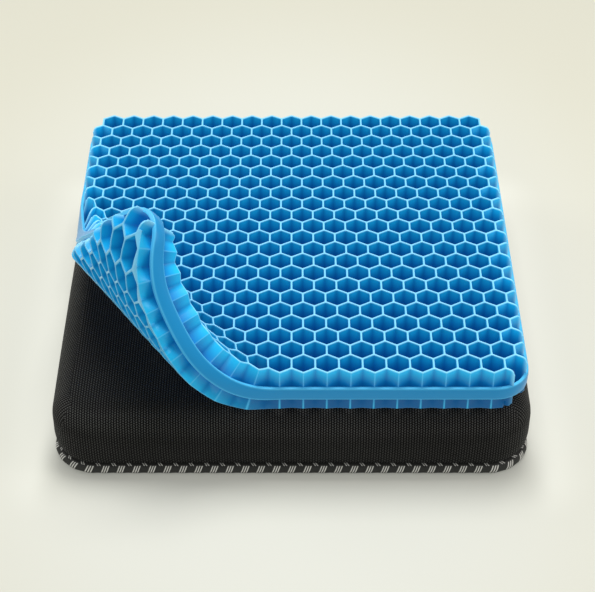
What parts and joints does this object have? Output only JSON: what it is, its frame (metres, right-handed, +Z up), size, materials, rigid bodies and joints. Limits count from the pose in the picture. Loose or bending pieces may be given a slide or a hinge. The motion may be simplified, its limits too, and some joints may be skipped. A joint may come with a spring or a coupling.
{
  "type": "seat cushion",
  "caption": "Square seat cushion: a soft gel honeycomb pad with one corner curled up, lying on a crowned black mesh cover with a corded bottom edge and a zip at the back.",
  "frame": {"origin": "middle of the underside of the cushion, on the surface it lies on", "axes": "+Z up, +Y towards the back wall with the zip, +X to the right seen from the front"},
  "size_m": [0.4288, 0.4153, 0.24],
  "materials": {
    "gel": "satin",
    "mesh_fabric": "matte",
    "edge_cord": "matte",
    "base_fabric": "matte",
    "foam": "matte",
    "zip_tape": "matte",
    "zip_nylon": "satin",
    "zip_metal": "satin"
  },
  "bodies": {
    "cover": {"cover_shell": "mesh_fabric", "edge_cord": "edge_cord", "base_panel": "base_fabric", "foam_core": "foam", "zip_tape_upper": "zip_tape", "zip_tape_lower": "zip_tape", "zip_coil_upper": "zip_nylon", "zip_coil_lower": "zip_nylon", "zip_stop_start": "zip_metal", "zip_stop_end": "zip_metal"},
    "gel_pad": {"gel_pad": "gel"},
    "gel_corner_1": {"gel_corner_1": "gel"},
    "gel_corner_2": {"gel_corner_2": "gel"},
    "gel_corner_3": {"gel_corner_3": "gel"},
    "gel_corner_4": {"gel_corner_4": "gel"},
    "zip_slider": {"zip_slider": "zip_metal"},
    "zip_pull": {"zip_pull": "zip_metal"}
  },
  "joints": [
    {"name": "pad_lift", "type": "slide", "parent": "cover", "child": "gel_pad", "axis": [0, 0, 1], "range_m": [0, 0.15]},
    {"name": "curl_1", "type": "hinge", "parent": "gel_pad", "child": "gel_corner_1", "pos_m": [-0.11112, -0.07637, 0.102], "axis": [-0.5664, 0.8241, 0], "range_deg": [-41, 3]},
    {"name": "curl_2", "type": "hinge", "parent": "gel_corner_1", "child": "gel_corner_2", "pos_m": [-0.13433, -0.09232, 0.12649], "axis": [-0.5664, 0.8241, 0], "range_deg": [-33.01, 2.42]},
    {"name": "curl_3", "type": "hinge", "parent": "gel_corner_2", "child": "gel_corner_3", "pos_m": [-0.14265, -0.09804, 0.1617], "axis": [-0.5664, 0.8241, 0], "range_deg": [-16.01, 1.18]},
    {"name": "curl_4", "type": "hinge", "parent": "gel_corner_3", "child": "gel_corner_4", "pos_m": [-0.14265, -0.09804, 0.2022], "axis": [-0.5664, 0.8241, 0], "range_deg": [-49.01, 3.6]},
    {"name": "zip_run", "type": "slide", "parent": "cover", "child": "zip_slider", "axis": [-1, 0, 0], "range_m": [0, 0.3314]},
    {"name": "pull_swing", "type": "hinge", "parent": "zip_slider", "child": "zip_pull", "pos_m": [0.1657, 0.2067, 0.034], "axis": [0, 0, -1], "range_deg": [0, 165]}
  ],
  "couplings": [
    {"joint": "curl_2", "follows": "curl_1", "ratio": 0.80488},
    {"joint": "curl_3", "follows": "curl_1", "ratio": 0.39024},
    {"joint": "curl_4", "follows": "curl_1", "ratio": 1.1951}
  ]
}
